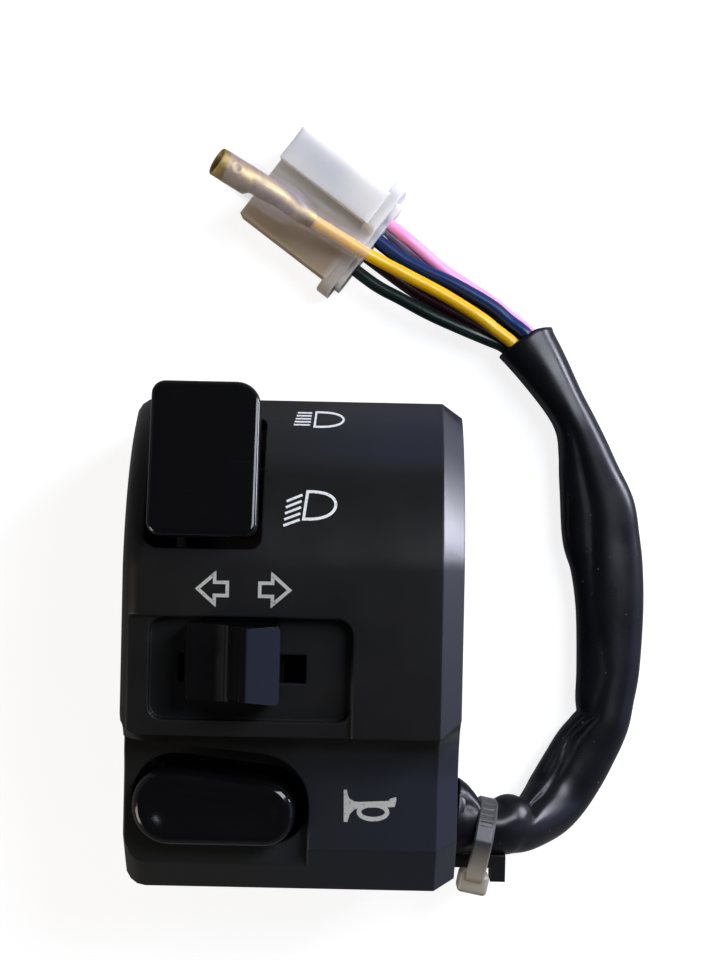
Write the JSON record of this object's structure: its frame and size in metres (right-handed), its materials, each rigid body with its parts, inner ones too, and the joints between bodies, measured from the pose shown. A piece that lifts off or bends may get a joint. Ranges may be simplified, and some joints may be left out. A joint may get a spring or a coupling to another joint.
{
  "type": "handlebar switch cluster",
  "caption": "Left-hand handlebar switch case that clamps round the bar, with beam rocker, sliding turn-signal knob, horn button, sleeved loom, plug and bullet lead.",
  "frame": {"origin": "centre of the handlebar bore, midway along the case", "axes": "+X along the handlebar towards the cable side, +Y up the face towards the beam rocker, +Z out of the face; it lies on the flat back of its case"},
  "size_m": [0.0811, 0.123, 0.057],
  "materials": {
    "case_abs": "fine-grained charcoal moulding",
    "gloss_abs": "polished black moulding",
    "zinc_steel": "zinc plated",
    "brass": "drawn brass",
    "phenolic": "laminated board",
    "white_nylon": "natural milky nylon",
    "tie_nylon": "translucent nylon",
    "black_pvc": "soft glossy tubing",
    "yellow_pvc": "wire insulation",
    "blue_pvc": "wire insulation",
    "pink_pvc": "wire insulation",
    "grey_pvc": "wire insulation",
    "brown_pvc": "wire insulation",
    "green_pvc": "wire insulation",
    "clear_pvc": "clear soft insulator"
  },
  "bodies": {
    "case": {"front_case": "case_abs", "rear_case": "case_abs", "case_screws": "zinc_steel", "screw_inserts": "brass", "beam_pivot_pin": "zinc_steel", "beam_board": "phenolic", "beam_terminals": "brass", "turn_board": "phenolic", "turn_terminals": "brass", "horn_spring": "zinc_steel", "horn_board": "phenolic", "horn_terminals": "brass", "board_screws": "zinc_steel", "inner_loom": "black_pvc", "sleeve": "black_pvc", "cable_tie": "tie_nylon", "wire_yellow": "yellow_pvc", "wire_blue": "blue_pvc", "wire_pink": "pink_pvc", "wire_grey": "grey_pvc", "wire_black": "black_pvc", "wire_brown": "brown_pvc", "wire_green": "green_pvc", "connector_housing": "white_nylon", "connector_terminals": "brass", "bullet_terminal": "brass", "bullet_insulator": "clear_pvc"},
    "rocker": {"beam_rocker": "gloss_abs", "beam_plunger": "white_nylon", "beam_plunger_spring": "zinc_steel"},
    "seesaw": {"beam_contact": "brass"},
    "slider": {"turn_knob": "gloss_abs", "turn_carriage": "gloss_abs", "turn_carriage_screw": "zinc_steel", "turn_detent_ball": "zinc_steel", "turn_detent_spring": "zinc_steel", "turn_contact": "brass"},
    "horn": {"horn_button": "gloss_abs", "horn_contact": "brass", "horn_clip": "zinc_steel"}
  },
  "joints": [
    {"name": "beam_rock", "type": "hinge", "parent": "case", "child": "rocker", "pos_m": [-0.0132, 0.018, 0.025], "axis": [1, 0, 0], "range_deg": [0, 10]},
    {"name": "beam_seesaw", "type": "hinge", "parent": "case", "child": "seesaw", "pos_m": [-0.0132, 0.018, 0.014], "axis": [1, 0, 0], "range_deg": [-8, 0]},
    {"name": "turn_slide", "type": "slide", "parent": "case", "child": "slider", "axis": [1, 0, 0], "range_m": [-0.005, 0.005]},
    {"name": "horn_press", "type": "slide", "parent": "case", "child": "horn", "axis": [0, 0, -1], "range_m": [0, 0.0025], "stiffness_N_per_m": 800, "springref_m": -0.001, "deforming": ["horn_spring"]}
  ],
  "couplings": [
    {"joint": "beam_seesaw", "follows": "beam_rock", "ratio": -0.8}
  ]
}
